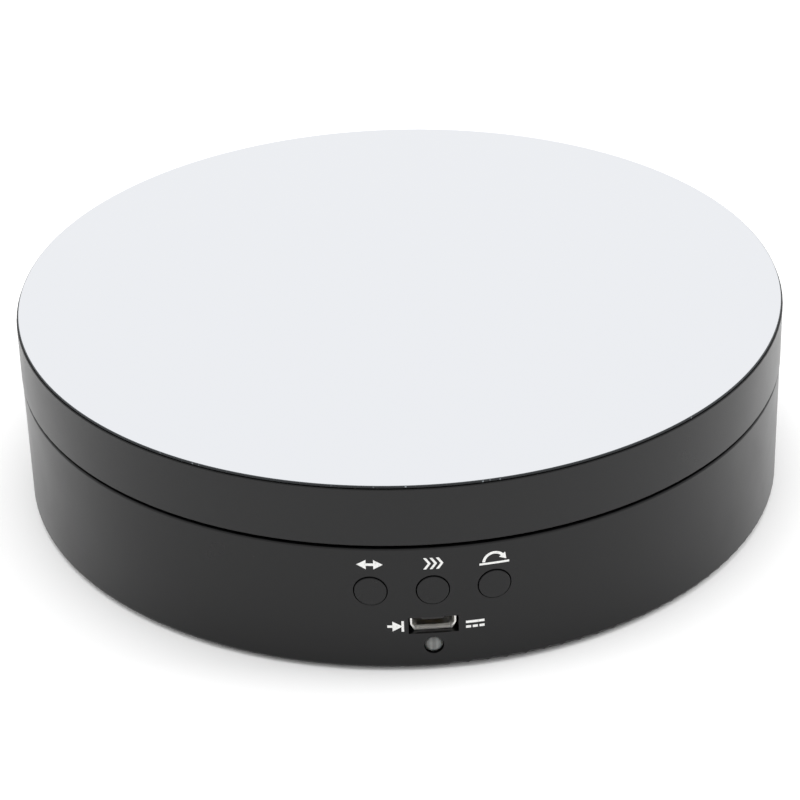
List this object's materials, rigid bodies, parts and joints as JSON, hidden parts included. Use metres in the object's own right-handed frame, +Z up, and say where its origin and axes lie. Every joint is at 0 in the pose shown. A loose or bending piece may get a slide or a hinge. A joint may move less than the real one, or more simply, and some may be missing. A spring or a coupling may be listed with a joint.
{
  "type": "motorised turntable display stand",
  "caption": "Round mirror-topped display turntable: a geared motor in the battery base turns the platter; push buttons, charging socket and lamp sit on the front.",
  "frame": {"origin": "on the turning axis, in the plane that the rubber feet stand on", "axes": "+Z up along the turning axis; -Y is the front, where the buttons and the charging socket are; +X is to the right as seen from the front"},
  "size_m": [0.146, 0.1462, 0.038],
  "materials": {
    "adhesive_sheet": "translucent double-sided sheet",
    "black_connector": "moulded nylon",
    "black_moulding": "fine spark-eroded matte black",
    "black_moulding_satin": "fine spark-eroded matte black, a shade lighter",
    "black_screws": "black oxide",
    "blue_plastic": "moulded terminal cap",
    "brass": "machined brass",
    "button_plastic": "smooth matte black",
    "capacitor_sleeve": "shrink sleeve",
    "cell_foil": "aluminium laminate pouch",
    "chip_epoxy": "moulded epoxy",
    "circuit_board": "solder resist",
    "copper_wire": "enamelled copper winding",
    "ferrite_magnet": "sintered ferrite",
    "foam": "black foam tape",
    "foot_rubber": "soft black rubber",
    "lamp_lens": "diffusing epoxy dome",
    "mirror": "polished, second-surface silvered, dark ground edge",
    "nickel_shell": "nickel-plated folded steel",
    "polished_balls": "polished bearing steel",
    "steel_screws": "zinc-plated steel",
    "switch_body": "moulded nylon with a steel frame",
    "switch_plunger": "moulded nylon",
    "white_acetal": "waxy moulded acetal",
    "white_connector": "moulded nylon",
    "wire_insulation": "PVC lead insulation",
    "zinc_plated_can": "drawn zinc-plated steel"
  },
  "bodies": {
    "base": {"base_housing": "black_moulding", "battery_cell": "cell_foil", "battery_lead_header": "white_connector", "battery_lead_plug": "white_connector", "battery_leads": "wire_insulation", "battery_pad": "foam", "battery_protection_board": "circuit_board", "board_screws": "steel_screws", "bottom_cover": "black_moulding", "charge_lamp": "lamp_lens", "charge_lamp_legs": "steel_screws", "charger_chip": "chip_epoxy", "charging_socket_shell": "nickel_shell", "charging_socket_tongue": "black_connector", "control_board": "circuit_board", "controller_chip": "chip_epoxy", "cover_screws": "black_screws", "motor_case": "zinc_plated_can", "motor_coils": "copper_wire", "motor_cover": "zinc_plated_can", "motor_driver_chip": "chip_epoxy", "motor_gear_plate": "brass", "motor_gear_posts": "steel_screws", "motor_lead_cap": "blue_plastic", "motor_lead_header": "white_connector", "motor_lead_plug": "white_connector", "motor_leads": "wire_insulation", "motor_screws": "steel_screws", "motor_stator": "zinc_plated_can", "rotor_pin": "steel_screws", "rubber_foot_1": "foot_rubber", "rubber_foot_2": "foot_rubber", "rubber_foot_3": "foot_rubber", "rubber_foot_4": "foot_rubber", "storage_capacitor": "capacitor_sleeve", "switch_angle": "switch_body", "switch_direction": "switch_body", "switch_speed": "switch_body"},
    "platter": {"platter_tray": "black_moulding_satin", "mirror_disc": "mirror", "mirror_adhesive": "adhesive_sheet", "drive_hub": "white_acetal", "hub_screws": "steel_screws", "output_gear_shaft": "brass"},
    "ball_cage": {"bearing_cage": "white_acetal", "bearing_balls": "polished_balls"},
    "rotor": {"motor_rotor": "ferrite_magnet"},
    "gear_1": {"reduction_gear_1": "white_acetal"},
    "gear_2": {"reduction_gear_2": "white_acetal"},
    "gear_3": {"reduction_gear_3": "white_acetal"},
    "button_direction": {"button_direction": "button_plastic", "switch_plunger_direction": "switch_plunger"},
    "button_speed": {"button_speed": "button_plastic", "switch_plunger_speed": "switch_plunger"},
    "button_angle": {"button_angle": "button_plastic", "switch_plunger_angle": "switch_plunger"}
  },
  "joints": [
    {"name": "platter_spin", "type": "hinge", "parent": "base", "child": "platter", "pos_m": [0, 0, 0], "axis": [0, 0, 1], "continuous": true},
    {"name": "ball_cage_spin", "type": "hinge", "parent": "base", "child": "ball_cage", "pos_m": [0, 0, 0], "axis": [0, 0, 1], "continuous": true},
    {"name": "gear_3_spin", "type": "hinge", "parent": "base", "child": "gear_3", "pos_m": [0.0052, -0.004, 0], "axis": [0, 0, 1], "continuous": true},
    {"name": "gear_2_spin", "type": "hinge", "parent": "base", "child": "gear_2", "pos_m": [0.00629, -0.0102, 0], "axis": [0, 0, 1], "continuous": true},
    {"name": "gear_1_spin", "type": "hinge", "parent": "base", "child": "gear_1", "pos_m": [0.0052, -0.004, 0], "axis": [0, 0, 1], "continuous": true},
    {"name": "rotor_spin", "type": "hinge", "parent": "base", "child": "rotor", "pos_m": [0, -0.008, 0], "axis": [0, 0, 1], "continuous": true},
    {"name": "button_direction_press", "type": "slide", "parent": "base", "child": "button_direction", "axis": [0, 1, 0], "range_m": [0, 0.0005], "stiffness_N_per_m": 2000, "springref_m": -0.0004},
    {"name": "button_speed_press", "type": "slide", "parent": "base", "child": "button_speed", "axis": [0, 1, 0], "range_m": [0, 0.0005], "stiffness_N_per_m": 2000, "springref_m": -0.0004},
    {"name": "button_angle_press", "type": "slide", "parent": "base", "child": "button_angle", "axis": [0, 1, 0], "range_m": [0, 0.0005], "stiffness_N_per_m": 2000, "springref_m": -0.0004}
  ],
  "couplings": [
    {"joint": "ball_cage_spin", "follows": "platter_spin", "ratio": 0.5},
    {"joint": "gear_3_spin", "follows": "platter_spin", "ratio": -3.1},
    {"joint": "gear_2_spin", "follows": "platter_spin", "ratio": 8.9556},
    {"joint": "gear_1_spin", "follows": "platter_spin", "ratio": -17.911},
    {"joint": "rotor_spin", "follows": "platter_spin", "ratio": 63.684}
  ]
}
